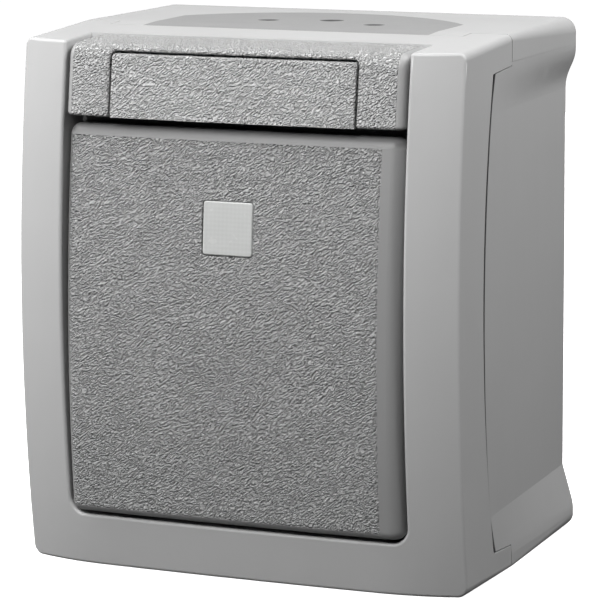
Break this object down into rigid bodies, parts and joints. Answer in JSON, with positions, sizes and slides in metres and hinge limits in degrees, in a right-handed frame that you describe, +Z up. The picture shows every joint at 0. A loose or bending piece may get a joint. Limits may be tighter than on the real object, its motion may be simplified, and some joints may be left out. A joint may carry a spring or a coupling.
{
  "type": "surface mounted light switch",
  "caption": "Surface mounted grey rocker switch for damp rooms, with a square indicator window in the key, a label field above it and a soft cable membrane on top.",
  "frame": {"origin": "centre of the flat back face, in the wall plane", "axes": "+X to the right seen from the front, +Y into the wall, +Z up towards the cable membrane; the key faces -Y"},
  "size_m": [0.0688, 0.0531, 0.0782],
  "materials": {
    "housing_plastic": "fine satin grey",
    "textured_plastic": "coarse grained grey",
    "label_plastic": "coarse grained grey",
    "membrane_rubber": "matt grey elastomer",
    "seal_rubber": "matt dark elastomer",
    "lens_plastic": "translucent diffuser",
    "cradle_plastic": "moulded",
    "plunger_plastic": "moulded",
    "spring_steel": "drawn wire",
    "contact_brass": "stamped",
    "screw_steel": "plated",
    "insert_plastic": "moulded",
    "plate_steel": "plated sheet",
    "lamp_glass": "clear"
  },
  "bodies": {
    "housing": {"rear_box": "housing_plastic", "cable_membrane": "membrane_rubber", "box_gasket": "seal_rubber", "front_frame": "housing_plastic", "top_trim": "textured_plastic", "label_cover": "label_plastic", "common_terminal": "contact_brass", "load_terminal_upper": "contact_brass", "load_terminal_lower": "contact_brass", "loop_terminal": "contact_brass", "terminal_screws": "screw_steel", "insert_base": "insert_plastic", "insert_cover": "insert_plastic", "insert_screws": "screw_steel", "retainer_plate": "plate_steel", "retainer_screws": "screw_steel", "insert_seal": "seal_rubber", "frame_screws": "screw_steel", "screw_washers": "seal_rubber", "pilot_lamp": "lamp_glass"},
    "key": {"rocker_key": "textured_plastic", "indicator_lens": "lens_plastic", "rocker_cradle": "cradle_plastic", "contact_plunger": "plunger_plastic", "plunger_spring": "spring_steel"},
    "bridge": {"contact_bridge": "contact_brass"}
  },
  "joints": [
    {"name": "rocker_swing", "type": "hinge", "parent": "housing", "child": "key", "pos_m": [0, -0.045, -0.0023], "axis": [1, 0, 0], "range_deg": [0, 3.6]},
    {"name": "bridge_swing", "type": "hinge", "parent": "housing", "child": "bridge", "pos_m": [0, -0.02725, -0.0023], "axis": [1, 0, 0], "range_deg": [-12, 0]}
  ],
  "couplings": [
    {"joint": "bridge_swing", "follows": "rocker_swing", "ratio": -3.3333}
  ]
}
